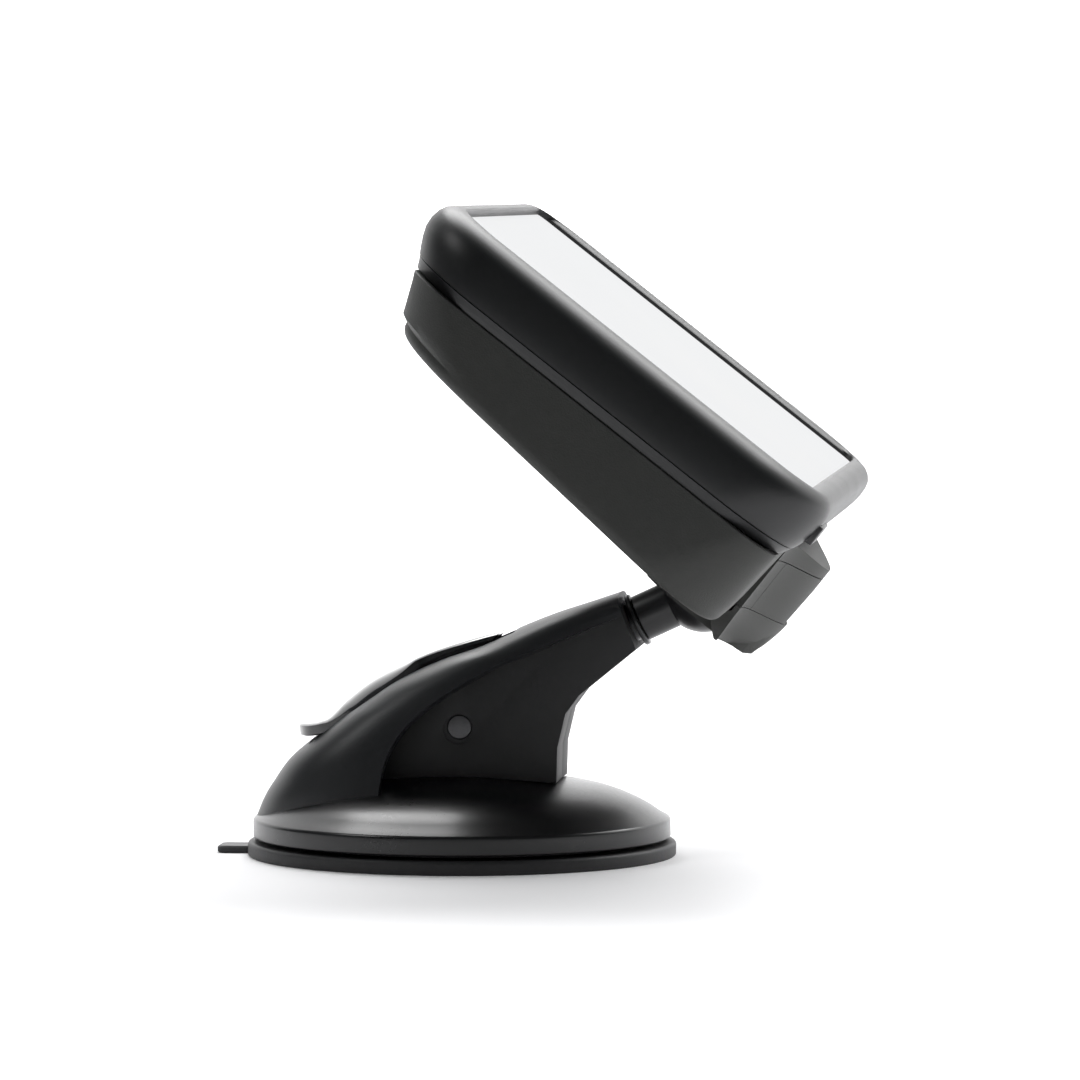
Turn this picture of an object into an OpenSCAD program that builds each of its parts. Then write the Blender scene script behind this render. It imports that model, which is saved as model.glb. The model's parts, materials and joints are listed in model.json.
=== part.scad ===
// Windscreen radar detector: a screen unit on a ball joint, an arm with a
// locking lever, and a suction base. Millimetres, +Z up. The origin is on the
// suction cup's contact plane, under the middle of the base. The screen faces
// +X and up, and its width runs along Y.

/* [Suction base] */
// Diameter of the rubber suction cup
cup_d = 69.8; // [69.4:0.1:70.4]
// Thickness of the cup at its rim
cup_rim_h = 2.3; // [2.1:0.1:2.4]
// Height of the vacuum space under the middle of the locked cup
cup_dish_h = 1.2; // [1.0:0.1:1.3]
// How far the pull tab reaches from the middle of the base
tab_reach = 40; // [39:0.1:41]
// Width of the pull tab
tab_w = 6.4; // [5.6:0.2:8]
// Diameter of the dome plate
dome_d = 68; // [67:0.1:68.6]

/* [Arm] */
// Half width of the arm's web
web_hw = 8.5; // [8.4:0.05:8.6]
// Wall thickness of the web halves
web_wall = 2; // [1.8:0.1:2.1]
// Wall thickness of the arm cover
cover_wall = 1.6; // [1.4:0.1:1.7]
// Half width of the arm cover where it meets the dome
cover_base_hw = 18.5; // [18:0.1:19]
// Half width of the arm cover along its crown
cover_top_hw = 12.2; // [12:0.1:12.4]

/* [Locking lever] */
// Radius of the lever's pin
pin_r = 2; // [1.9:0.05:2]
// Throw of the lever's eccentric
cam_throw = 2; // [1.9:0.05:2.1]
// Radius of the lever's eccentric
cam_r = 4.4; // [4.35:0.05:4.45]
// Half width of the lever plate at its finger tab
plate_hw = 9; // [8.5:0.1:9.2]
// Half width of the lever plate at its upper end
plate_end_hw = 5.9; // [5.5:0.1:6]

/* [Ball joint] */
// Radius of the ball
ball_r = 7; // [6.9:0.05:7.1]
// Radius of the stud's neck
neck_r = 3.8; // [3.6:0.1:3.8]
// Angle of the stud above the horizontal
stud_angle = 25; // [24:0.5:26]
// Gap between the ball and its seat
ball_gap = 0.15; // [0.12:0.01:0.18]

/* [Screen unit] */
// Tilt of the screen from the horizontal
tilt = 38.2; // [37:0.1:39]
// Height of the display window, down the screen
window_l = 68; // [66:0.5:68]
// Half width of the display window
window_hw = 56; // [54:0.5:56]
// Half width of the front shell
front_hw = 64.5; // [64:0.1:65]
// Corner radius of the front shell
front_r = 14; // [12:0.5:15]
// Half width of the rear housing
rear_hw = 63.6; // [63:0.1:63.8]
// Wall thickness of the shells
shell_wall = 1.8; // [1.6:0.1:2]

/* [Hidden] */
$fn = 96;
eps = 0.01;
fit = 0.05;

// Base heights
cup_r = cup_d / 2;
dome_r = dome_d / 2;
dome_z0 = 2.9;
core_z = 3.1;
core_h = 1.9;
core_r = 9;
rod_r = 2.5;

// Pin of the lever, right over the cup's rod
pin_x = 0.55;
pin_z = 21.4;
lock_angle = 22.5;
cam_x = pin_x + cam_throw * cos(lock_angle);
cam_z = pin_z + cam_throw * sin(lock_angle);
fork_hy = 1.9;
cam_hy = 2.3;

// Ball joint, in the world and in the screen unit's own axes
ball_x = 39.5;
ball_z = 43.5;
ball_l = 63.3;
ball_n = -26;
stud_len = 12.35;
seat_r = 8.5;
seat_turn_gap = 0.08;
lip_angle = 68.5;
chin_r = 9.8;
chin_run = 4.3;
end_l = 70.4;
hump_hw = 26;
hump_rise = 7;
band_n0 = -22;
band_n1 = -12.7;

// Levels of the screen unit along its normal
crest_n = 2.2;
glass_n = 1;
part_n = -9.25;
glass_h = 1.1;
lcd_h = 3;
board_h = 1.6;
board_n = -8.8;
front_l0 = -4;
front_l1 = 72;
rear_l0 = -0.4;

// Outer silhouette of the cover, from the toe over the crown to the arm's end
crown = [[-33.5, 6.7], [-32.2, 9.4], [-30.5, 12.1], [-27.3, 16.3], [-24, 19], [-21, 21.3],
    [-16.1, 24.8], [-10.2, 28.8], [-6.6, 30.6], [-3, 32.2], [1.7, 33.8], [6.5, 35.2],
    [8.5, 36.4], [9.8, 37.4], [15, 39.3], [21.3, 41.4], [26.1, 43.1]];
// Lower edge of the cover's side walls, from the dome to the arm's end
side_edge = [[27.3, 39.8], [24.9, 38.8], [17.9, 36.1], [13.1, 34.2], [8.4, 32.5], [3.6, 29.9],
    [-0.2, 27.7], [-4, 25], [-7.4, 21.7], [-9.7, 17.9], [-10.7, 14.6], [-11.2, 11]];
// Profile of the web, from its foot up the front to the arm's end and back
web_profile = [[-13.5, 11.5], [16.3, 11.5], [16.5, 18.2], [17.8, 23.7], [20, 26.7],
    [29.2, 34.2], [26, 42.3], [21, 40.3], [9, 36], [1, 31], [-6, 26.4], [-10.5, 20.5],
    [-12.6, 15]];
// Top curve of the lever plate, from its upper end to the finger tab
plate_top = [[6.3, 36.4], [4.4, 35.9], [-0.4, 34.5], [-5.3, 32.8], [-10.1, 30.6], [-14.9, 28],
    [-19, 24.8], [-21.4, 22.3], [-23.6, 21.7], [-26.5, 21.5]];

// Places the children in the screen unit's axes: X down the screen, Z out of it
module in_head() {
    translate([ball_x, 0, ball_z]) rotate([0, tilt, 0]) translate([-ball_l, 0, -ball_n]) children();
}

// Places the children on the stud, with Z from the arm towards the ball
module on_stud() {
    translate([ball_x, 0, ball_z]) rotate([0, 90 - stud_angle, 0]) children();
}

// Extrudes a profile drawn in X and Z to both sides of the middle plane
module slab(hw) {
    rotate([90, 0, 0]) translate([0, 0, -hw]) linear_extrude(2 * hw) children();
}

// Extrudes a profile drawn in X and Z between two values of Y
module slab_between(y0, y1) {
    rotate([90, 0, 0]) translate([0, 0, -y1]) linear_extrude(y1 - y0) children();
}

// A rectangle from x0 to x1 and to both sides of the middle, with round corners
module rounded(x0, x1, hw, r) {
    translate([x0 + r, -hw]) square([x1 - x0 - 2 * r, 2 * hw]);
    translate([x0, -hw + r]) square([x1 - x0, 2 * hw - 2 * r]);
    for (x = [x0 + r, x1 - r], y = [-hw + r, hw - r]) translate([x, y]) circle(r);
}

// A screw along Z with its pan head at the top
module pan_screw(r, length, head_r, head_h) {
    difference() {
        union() {
            translate([0, 0, -length]) cylinder(r = r, h = length);
            cylinder(r = head_r, h = head_h);
        }
        translate([0, 0, head_h - 0.6]) cylinder(r = head_r * 0.45, h = 1, $fn = 6);
    }
}

// ---- Suction base ----

// Outline of the dome's top, as radius and height
dome_top = [[0, 14.3], [8, 13.4], [13, 12.9], [18, 12.5], [22.6, 11.7], [29.1, 9.4],
    [33.2, 7.3], [dome_r, 6.2]];

module dome_envelope() {
    rotate_extrude() polygon(concat([[0, -1]], dome_top, [[dome_r, -1]]));
}

screw_sites = [[-7, 4.6], [-7, -4.6], [12.5, 4.6], [12.5, -4.6]];

module suction_cup() {
    color([0.09, 0.09, 0.1]) {
        rotate_extrude() polygon([[28, 0], [cup_r - 0.4, 0], [cup_r, 0.5], [cup_r, cup_rim_h - 0.3],
            [cup_r - 0.3, cup_rim_h], [21, cup_rim_h], [12, core_z], [0, core_z],
            [0, cup_dish_h], [10, cup_dish_h]]);
        difference() {
            translate([-tab_reach, -tab_w / 2, 0]) cube([tab_reach - cup_r + 1.5, tab_w, 1.2]);
            translate([0, 0, -1]) cylinder(r = cup_r - 0.6, h = 4);
        }
    }
}

module cup_core() {
    color([0.16, 0.16, 0.17]) difference() {
        translate([0, 0, core_z]) cylinder(r = core_r, h = core_h);
        translate([0, 0, core_z - 1]) cylinder(r = rod_r + fit, h = core_h + 2);
    }
}

module pull_rod() {
    fork_w = 1.5;
    window_x = cam_r + 0.35;
    window_z = cam_r + fit;
    color([0.72, 0.72, 0.74]) {
        translate([0, 0, core_z]) cylinder(r = rod_r, h = cam_z - window_z - fork_w - core_z + 0.5);
        translate([cam_x, 0, cam_z]) slab(fork_hy) difference() {
            translate([-window_x - fork_w, -window_z - fork_w])
                square([2 * (window_x + fork_w), 2 * (window_z + fork_w)]);
            translate([-window_x, -window_z]) square([2 * window_x, 2 * window_z]);
        }
    }
}

// A round wire wound about Z, swept ring by ring
module return_spring() {
    turns = 3.5;
    coil_r = 4.6;
    wire_r = 0.4;
    per_turn = 20;
    sides = 8;
    z0 = core_z + core_h + wire_r + 0.05;
    z1 = 10.6 - wire_r - 0.05;
    rings = turns * per_turn;
    points = [for (i = [0 : rings], j = [0 : sides - 1])
        let (a = 360 * i / per_turn, b = 360 * j / sides, r = coil_r + wire_r * cos(b))
        [r * cos(a), r * sin(a), z0 + (z1 - z0) * i / rings + wire_r * sin(b)]];
    walls = [for (i = [0 : rings - 1], j = [0 : sides - 1])
        let (k = (j + 1) % sides)
        [i * sides + j, (i + 1) * sides + j, (i + 1) * sides + k, i * sides + k]];
    start = [[for (j = [0 : sides - 1]) j]];
    end = [[for (j = [sides - 1 : -1 : 0]) rings * sides + j]];
    color([0.75, 0.75, 0.77]) polyhedron(points, concat(start, end, walls));
}

module base_dome() {
    wall = 2.2;
    color([0.05, 0.05, 0.055]) difference() {
        rotate_extrude() polygon(concat(
            [[0, 10.6], [10, 10.6], [20, 9.2], [28.5, 6.4], [28.5, cup_rim_h], [30, cup_rim_h],
             [30, dome_z0], [dome_r - 0.4, dome_z0], [dome_r, dome_z0 + 0.4]],
            [for (i = [len(dome_top) - 1 : -1 : 0]) dome_top[i]]));
        translate([0, 0, 5]) cylinder(r = rod_r + 0.1, h = 20);
        for (s = screw_sites) translate([s[0], s[1], 5]) cylinder(r = 1.3, h = 20);
        for (s = screw_sites) translate([s[0], s[1], 5]) cylinder(r = 2.5, h = 6.4);
    }
}

module dome_screws() {
    color([0.55, 0.55, 0.57]) for (s = screw_sites)
        translate([s[0], s[1], 11.4]) mirror([0, 0, 1]) pan_screw(1.25, 4.8, 2.3, 1.5);
}

// ---- Arm ----

// The space inside the cover's outer surface, or inside its wall
module cover_envelope(inset) {
    hull() {
        translate([-13.6, 0, 6 - inset]) cylinder(r = cover_base_hw + 1.6 - inset, h = eps, $fn = 40);
        translate([-9, 0, 24]) cylinder(r = 14.6 - inset, h = eps, $fn = 40);
        translate([1, 0, 37]) cylinder(r = cover_top_hw - inset, h = eps, $fn = 40);
        translate([29, -8.6 + inset, 33]) cube([eps, 17.2 - 2 * inset, 12]);
    }
}

module cover_profile() {
    polygon(concat(crown, side_edge, [[-33.5, 5.5]]));
}

// Everything under the cover's wall, down to below the dome
module under_cover_profile() {
    n = len(crown);
    polygon(concat([for (i = [0 : n - 1])
        let (a = crown[max(i - 1, 0)], b = crown[min(i + 1, n - 1)], d = b - a, l = norm(d))
        crown[i] + cover_wall * [d[1], -d[0]] / l],
        [[32, 43.6], [32, 4], [-31.5, 4]]));
}

module arm_cover() {
    color([0.07, 0.07, 0.075]) difference() {
        intersection() {
            slab(20) cover_profile();
            cover_envelope(0);
        }
        intersection() {
            slab(20) under_cover_profile();
            union() {
                cover_envelope(cover_wall);
                translate([-13, -web_hw - fit, 4]) cube([46, 2 * (web_hw + fit), 50]);
            }
        }
        // opening for the lever plate, narrower towards its upper end
        translate([0, 0, 15]) linear_extrude(30)
            polygon([[-23.9, -plate_hw - 0.35], [-13, -plate_hw - 0.35], [-6.5, -plate_end_hw - 1.5],
                [4.5, -plate_end_hw - 1.5], [9.3, -plate_end_hw - 0.8], [9.3, plate_end_hw + 0.8],
                [4.5, plate_end_hw + 1.5], [-6.5, plate_end_hw + 1.5], [-13, plate_hw + 0.35],
                [-23.9, plate_hw + 0.35]]);
        dome_envelope();
    }
}

// One half of the web, from the middle plane to the side that s points to
module web_half(s) {
    y0 = s > 0 ? 0 : -web_hw;
    y1 = s > 0 ? web_hw : 0;
    inner0 = s > 0 ? -1 : -web_hw + web_wall;
    inner1 = s > 0 ? web_hw - web_wall : 1;
    difference() {
        slab_between(y0, y1) intersection() {
            polygon(web_profile);
            under_cover_profile();
        }
        // open inside for the lever, its cam and the rod
        slab_between(inner0, inner1) polygon([[-20, 15.6], [-12.5, 15.6], [-12.5, 14.4], [-9.6, 14.4],
            [-9.6, 20], [-4, 20], [-4, 14.4], [9.2, 14.4], [9.2, 20.8], [15, 20.8], [16.3, 24],
            [17, 27], [17, 30], [15.4, 34.2], [12.6, 38], [8, 42], [-20, 42]]);
        translate([0, 0, 10]) cylinder(r = rod_r + 0.3, h = 8);
        dome_envelope();
        // pin bore and the shallow eccentric sink around its head
        translate([pin_x, 0, pin_z]) rotate([90, 0, 0]) cylinder(r = pin_r + 0.03, h = 40, center = true);
        translate([pin_x - 0.15, s * (web_hw - 0.35), pin_z - 0.3]) rotate([-90 * s, 0, 0])
            cylinder(r = 2.45, h = 2);
        on_stud() translate([0, 0, -stud_len - 9.6]) cylinder(r = 3.2, h = 20);
        on_stud() translate([0, 0, -stud_len - 3.4]) cylinder(r = 4.4, h = 1.6);
        translate([24.7, 0, 36.6]) rotate([90, 0, 0]) cylinder(r = 1.05, h = 14, center = true);
        for (c = screw_sites) translate([c[0], c[1], 10]) cylinder(r = 1.27, h = 6.6);
        for (c = arm_screw_sites) translate([c[0], 0, c[1]]) rotate([90, 0, 0])
            cylinder(r = 1.27, h = 14, center = true);
        for (c = arm_screw_sites) translate([c[0], web_hw - 1.6, c[1]]) rotate([-90, 0, 0])
            cylinder(r = 2.4, h = 3);
    }
}

arm_screw_sites = [[-6.8, 17.6], [12.4, 18], [19.7, 31]];

module arm_web_left() {
    color([0.06, 0.06, 0.062]) web_half(-1);
}

module arm_web_right() {
    color([0.06, 0.06, 0.062]) web_half(1);
}

module arm_screws() {
    color([0.2, 0.2, 0.21]) for (c = arm_screw_sites)
        translate([c[0], web_hw - 1.6, c[1]]) rotate([-90, 0, 0]) pan_screw(1.25, 13.2, 2.3, 1.3);
}

// ---- Locking lever ----

// Thickness of the lever plate, which grows towards the finger tab
function plate_thickness(x) = min(2.2, 1.3 + max(0, -2 - x) * 0.11);

module plate_profile() {
    n = len(plate_top);
    polygon(concat(plate_top, [for (i = [n - 1 : -1 : 0])
        let (a = plate_top[max(i - 1, 0)], b = plate_top[min(i + 1, n - 1)], d = b - a, l = norm(d))
        plate_top[i] + plate_thickness(plate_top[i][0]) * [-d[1], d[0]] / l]));
}

module lever() {
    rib_y = [2.6, 4.6];
    color([0.1, 0.1, 0.105]) difference() {
        union() {
            intersection() {
                slab(plate_hw) plate_profile();
                translate([0, 0, 10]) linear_extrude(40)
                    polygon([[-22.5, -plate_hw], [-13, -plate_hw], [-6.3, -plate_end_hw - 0.4], [7, -plate_end_hw],
                        [7, plate_end_hw], [-6.3, plate_end_hw + 0.4], [-13, plate_hw],
                        [-22.5, plate_hw], [-25.7, plate_hw - 2.5], [-27, plate_hw - 5.5],
                        [-27, 5.5 - plate_hw], [-25.7, 2.5 - plate_hw]]);
            }
            for (s = [-1, 1]) slab_between(s > 0 ? rib_y[0] : -rib_y[1], s > 0 ? rib_y[1] : -rib_y[0])
                polygon([[pin_x + 3.6, pin_z], [5.2, 35.3], [0, 34], [-5.6, 31.9], [-10.4, 29.6],
                    [-14.6, 27], [-11, 24.5], [pin_x - 3, pin_z - 1.5]]);
            for (s = [-1, 1]) translate([pin_x, s * (cam_hy + 6.3) / 2, pin_z]) rotate([90, 0, 0])
                cylinder(r = 3.6, h = 6.3 - cam_hy, center = true);
            translate([cam_x, 0, cam_z]) rotate([90, 0, 0]) cylinder(r = cam_r, h = 2 * cam_hy + 1, center = true);
        }
        translate([pin_x, 0, pin_z]) rotate([90, 0, 0]) cylinder(r = pin_r + 0.06, h = 30, center = true);
    }
}

module lever_pin() {
    color([0.3, 0.3, 0.31]) translate([pin_x, 0, pin_z]) rotate([90, 0, 0])
        cylinder(r = pin_r, h = 2 * web_hw - 0.2, center = true);
}

// ---- Ball joint ----

module ball_stud() {
    color([0.12, 0.12, 0.125]) on_stud() difference() {
        union() {
            sphere(r = ball_r);
            translate([0, 0, -stud_len + 0.9]) cylinder(r = neck_r, h = stud_len - 4);
            translate([0, 0, -stud_len - 9.4]) cylinder(r = 3.15, h = 14);
            translate([0, 0, -stud_len - 3.3]) cylinder(r = 4.3, h = 1.4);
        }
        stud_pin_bore();
    }
}

// The cross pin's bore, in the stud's own axes
module stud_pin_bore() {
    dx = 24.7 - ball_x;
    dz = 36.6 - ball_z;
    a = 90 - stud_angle;
    translate([dx * cos(a) - dz * sin(a), 0, dx * sin(a) + dz * cos(a)]) rotate([90, 0, 0])
        cylinder(r = 1.05, h = 20, center = true);
}

module stud_pin() {
    color([0.7, 0.7, 0.72]) translate([24.7, 0, 36.6]) rotate([90, 0, 0])
        cylinder(r = 1, h = 13, center = true);
}

module stud_collar() {
    color([0.1, 0.1, 0.105]) on_stud() difference() {
        translate([0, 0, -stud_len + 0.05]) cylinder(r = 4.4, h = 0.8);
        translate([0, 0, -stud_len - 1]) cylinder(r = 3.2, h = 3);
    }
}

// The parts of the socket are turned about the screen unit's normal, at the ball
module at_ball() {
    in_head() translate([ball_l, 0, ball_n]) children();
}

module pressure_pad() {
    color([0.75, 0.75, 0.7]) at_ball() intersection() {
        difference() {
            sphere(r = ball_r + ball_gap + 0.75);
            sphere(r = ball_r + ball_gap);
        }
        cylinder(r = 2.6, h = 12);
    }
}

module ball_seat() {
    color([0.8, 0.8, 0.76]) at_ball() difference() {
        translate([0, 0, -0.2]) cylinder(r = seat_r, h = 9.2);
        sphere(r = ball_r + ball_gap);
        intersection() {
            sphere(r = ball_r + ball_gap + 0.95);
            translate([0, 0, 5]) cylinder(r = 4.9, h = 5);
        }
        translate([0, 0, -3]) cylinder(r = ball_r + ball_gap, h = 3);
    }
}

// Plan of the chin that holds the ball: a stadium down the screen from the ball
module chin_plan(r) {
    circle(r);
    translate([0, -r]) square([chin_run, 2 * r]);
    translate([chin_run, 0]) circle(r);
}

cap_screw_sites = [[-4.6, 7.9], [-4.6, -7.9], [11.4, 0]];

module socket_cap() {
    lip_z = -(ball_r + ball_gap) * cos(lip_angle);
    lip_r = (ball_r + ball_gap) * sin(lip_angle);
    top = band_n0 - ball_n - 0.1;
    color([0.11, 0.11, 0.115]) at_ball() difference() {
        union() {
            intersection() {
                translate([0, 0, lip_z - 0.9]) linear_extrude(-lip_z + 0.9 - 0.35) chin_plan(chin_r);
                slab(20) polygon([[-9.9, 0], [-9.6, -2], [-8.4, lip_z - 0.9], [11.4, lip_z - 0.9],
                    [12.6, -2.9], [13.2, -0.7], [13.3, 0]]);
            }
            // skirt that ends the hump of the housing's lower end
            intersection() {
                translate([-ball_l, 0, lip_z - 0.9]) linear_extrude(10) hump_plan(0);
                slab(30) polygon([[2.9, top], [2.9, lip_z - 0.9], [11.4, lip_z - 0.9], [12.6, -2.9],
                    [13.2, -0.7], [13.7, top]]);
                rotate([90, 0, 90]) linear_extrude(20) polygon([[-19, top], [-14.5, 1.2], [-10.5, -1.5],
                    [-9, lip_z - 0.9], [9, lip_z - 0.9], [10.5, -1.5], [14.5, 1.2], [19, top]]);
            }
        }
        // room for the housing's floor, end wall and boss
        slab(30) polygon([[-20, 8], [-20, 1.35], [4.3, 1.35], [6.2, 2.6], [6.25, 8]]);
        translate([0, 0, -0.35]) cylinder(r = chin_r + 0.12, h = 8);
        sphere(r = ball_r + ball_gap);
        rotate_extrude() polygon([[0, lip_z + 0.05], [lip_r, lip_z + 0.05], [lip_r + 0.75, lip_z - 1],
            [0, lip_z - 1]]);
        for (s = cap_screw_sites) translate([s[0], s[1], -10]) cylinder(r = 0.65, h = 16);
        for (s = cap_screw_sites) translate([s[0], s[1], -12.2]) cylinder(r = 1.15, h = 10);
    }
}

module cap_screws() {
    color([0.6, 0.6, 0.62]) at_ball() for (s = cap_screw_sites)
        translate([s[0], s[1], -2.2]) mirror([0, 0, 1])
            pan_screw(0.6, s[0] > 0 ? 9 : 6, 1.05, 0.7);
}

// ---- Rear housing ----

// Side profile of the rear housing: down the screen, and along its normal
rear_profile = [[rear_l0, part_n], [1.9, -16.3], [2.8, -17.8], [4.8, -18.9], [17.5, -20.5],
    [38.5, -22], [58.9, -23.6], [67.4, -24.4], [69.3, -23.3], [70.2, -17], [end_l, part_n]];
// Side profile of the hump on the lower end, from its lip down to the socket cap
hump_profile = [[60, part_n], [71.6, part_n], [77.4, -10.7], [77.4, -13], [77, band_n0], [60, band_n0]];

// Plan of the lower end with its smooth hump, moved back by d
module hump_plan(d) {
    polygon(concat([[60, -hump_hw]], [for (y = [-hump_hw : 2 : hump_hw])
        [end_l - d + hump_rise * pow(cos(90 * y / hump_hw), 2), y]], [[60, hump_hw]]));
}

module rear_body() {
    intersection() {
        slab(70) polygon(rear_profile);
        translate([0, 0, -40]) linear_extrude(60) rounded(rear_l0 - 4, end_l, rear_hw, 10);
    }
    intersection() {
        slab(30) polygon(hump_profile);
        translate([0, 0, -40]) linear_extrude(60) hump_plan(0);
    }
}

module rear_cavity() {
    w = shell_wall;
    intersection() {
        slab(70) polygon([[rear_l0 + w, 0], [rear_l0 + w, -12], [4.2, -18.4 + w], [17.5, -20.5 + w],
            [38.5, -22 + w], [58.9, -23.6 + w], [67, -24.4 + w], [68.4, -17], [68.6, 0]]);
        translate([0, 0, -40]) linear_extrude(60) rounded(rear_l0 + w, 68.6, rear_hw - w, 8.2);
    }
}

rear_screw_sites = [[14, 54], [14, -54], [56, 53], [56, -53]];
grille_l = 24;
grille_y = -30;
socket_y = 30;
socket_n = -12.5;

module rear_housing() {
    color([0.2, 0.2, 0.19]) in_head() difference() {
        union() {
            difference() {
                rear_body();
                rear_cavity();
            }
            intersection() {
                rear_body();
                for (s = rear_screw_sites) translate([s[0], s[1], -30]) cylinder(r = 3.4, h = 30 + part_n);
            }
            translate([ball_l, 0, ball_n]) cylinder(r = 9.8, h = 10.6);
        }
        // socket bore for the ball seat, closed at its inner end
        translate([ball_l, 0, ball_n - 1]) cylinder(r = seat_r + seat_turn_gap, h = 10.1);
        for (s = cap_screw_sites) translate([ball_l + s[0], s[1], ball_n - 1]) 
            cylinder(r = 0.62, h = s[0] > 0 ? 9 : 5.2);
        // inlaid band of the end panel
        end_panel_space(0.12);
        for (s = rear_screw_sites) {
            translate([s[0], s[1], -40]) cylinder(r = 1.25, h = 60);
            translate([s[0], s[1], -40]) cylinder(r = 2.3, h = 26);
        }
        // speaker grille
        for (i = [-3 : 3]) translate([grille_l + 2.6 * i, grille_y, -20])
            cube([1.2, 2 * sqrt(121 - 2.6 * 2.6 * i * i), 10], center = true);
        // window for the laser lens
        translate([8.9, 17.9, -24]) cube([10.2, 24.2, 10]);
        // way in for the power plug
        translate([60, socket_y, socket_n]) rotate([0, 90, 0]) cylinder(r = 3, h = 20);
    }
}

// Space of the band let into the lower end, with a gap of g round it
module end_panel_space(g) {
    intersection() {
        translate([65, -hump_hw - 10, band_n0 - 1]) cube([20, 2 * hump_hw + 20, band_n1 + g - band_n0 + 1]);
        translate([0, 0, -40]) linear_extrude(60) difference() {
            hump_plan(-1);
            hump_plan(1.2 + g);
        }
        slab(hump_hw - 7 + g) polygon([[60, -40], [80, -40], [80, 0], [60, 0]]);
    }
}

module end_panel() {
    color([0.17, 0.17, 0.165]) in_head() intersection() {
        rear_body();
        end_panel_space(0);
    }
}

// ---- Front unit ----

module front_shell() {
    color([0.07, 0.07, 0.075]) in_head() difference() {
        union() {
            front_skin();
            for (s = rear_screw_sites) translate([s[0], s[1], part_n]) cylinder(r = 2.6, h = 7);
        }
        // pocket of the glass and the panel, and the window over them
        translate([0, 0, -3.3]) linear_extrude(glass_n + fit + 3.3)
            rounded(-1.25, window_l + 1.25, window_hw + 1.25, 3);
        translate([0, 0, -3]) linear_extrude(6) rounded(0, window_l, window_hw, 2);
        button_space(0.2);
        for (s = rear_screw_sites) translate([s[0], s[1], part_n - 1]) cylinder(r = 1.22, h = 7);
    }
}

// The front shell's skin, open at the back
module front_skin() {
    w = shell_wall;
    difference() {
        hull() {
            translate([0, 0, part_n]) linear_extrude(eps)
                rounded(front_l0 + 2.6, front_l1 - 1.2, front_hw - 0.9, front_r - 1, $fn = 32);
            translate([0, 0, -5.6]) linear_extrude(eps)
                rounded(front_l0 + 0.4, front_l1 + 0.2, front_hw, front_r, $fn = 32);
            translate([0, 0, -1.8]) linear_extrude(eps)
                rounded(front_l0, front_l1 + 0.8, front_hw - 0.3, front_r, $fn = 32);
            translate([0, 0, crest_n - eps]) linear_extrude(eps)
                rounded(front_l0 + 3, front_l1 - 1.4, front_hw - 4, front_r - 4, $fn = 32);
        }
        translate([0, 0, part_n - 1]) linear_extrude(-part_n + 1 - 1.2)
            rounded(front_l0 + 2.6 + w, front_l1 - 1.2 - w, front_hw - 0.9 - w, front_r - 2.6);
    }
}

module display_glass() {
    color([0.9, 0.92, 0.95]) in_head() translate([0, 0, glass_n - glass_h]) linear_extrude(glass_h)
        rounded(-1.2, window_l + 1.2, window_hw + 1.2, 3);
}

module lcd_panel() {
    color([0.75, 0.77, 0.8]) in_head() translate([-0.4, -window_hw, glass_n - glass_h - fit - lcd_h])
        cube([window_l + 0.6, 2 * window_hw, lcd_h]);
}

module mid_frame() {
    color([0.5, 0.52, 0.54]) in_head() difference() {
        translate([1, -window_hw, -5.3]) cube([65.8, 2 * window_hw, 1]);
        for (l = [18, 52], y = [-35, 0, 35]) translate([l, y, -8]) cylinder(r = 6, h = 6);
        for (s = rear_screw_sites) translate([s[0], s[1], -8]) cylinder(r = 3.2, h = 6);
    }
}

module main_board() {
    color([0.1, 0.35, 0.2]) in_head() difference() {
        translate([2.2, -55, board_n - board_h / 2]) cube([65, 110, board_h]);
        for (s = rear_screw_sites) translate([s[0], s[1], -12]) cylinder(r = 3.8, h = 6);
    }
}

module rf_shield() {
    color([0.8, 0.8, 0.82]) in_head() difference() {
        translate([28, 6, board_n - board_h / 2 - 3]) cube([24, 40, 3]);
        translate([28.3, 6.3, board_n - board_h / 2 - 2.7]) cube([23.4, 39.4, 3]);
    }
}

// A flared waveguide horn that looks out through the rear wall
module horn_antenna() {
    color([0.78, 0.78, 0.8]) in_head() translate([28, -14, -13.4]) difference() {
        cube([24, 18, 3.8]);
        translate([-1, 1, 0.8]) cube([16, 16, 2.2]);
        translate([15, 5, 0.8]) cube([6, 8, 2.2]);
    }
}

module laser_lens() {
    color([0.35, 0.03, 0.03]) in_head() slab_between(18, 42) polygon([[9, -19.2], [17.5, -20.25],
        [19, -20.35], [19, -18.75], [17.5, -18.65], [9, -17.6]]);
}

module laser_sensor() {
    color([0.15, 0.15, 0.16]) in_head() translate([10, 25, -16.1]) cube([8, 10, 6.4]);
}

module gps_antenna() {
    color([0.85, 0.8, 0.68]) in_head() translate([6, -16, board_n - board_h / 2 - 4.2]) cube([18, 18, 4.1]);
}

module battery() {
    color([0.7, 0.7, 0.72]) in_head() translate([25, 12, -18.8]) cube([24, 36, 5.2]);
}

module speaker() {
    color([0.14, 0.14, 0.15]) in_head() translate([grille_l, grille_y, -17.3]) difference() {
        union() {
            cylinder(r = 12, h = 2);
            translate([0, 0, 1.9]) cylinder(r = 8, h = 2.6);
        }
        translate([0, 0, -1]) cylinder(r = 10, h = 1.8);
    }
}

module speaker_gasket() {
    color([0.1, 0.1, 0.1]) in_head() translate([grille_l, grille_y, -17.7]) difference() {
        cylinder(r = 12, h = 0.4);
        translate([0, 0, -1]) cylinder(r = 10.6, h = 3);
    }
}

// ---- Controls ----

button_y = -46;

// Slot of the power button in the lower end of the front shell
module button_space(g) {
    translate([66, button_y - 6 - g, -5.4 - g]) cube([10, 12 + 2 * g, 3.4 + 2 * g]);
}

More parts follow.
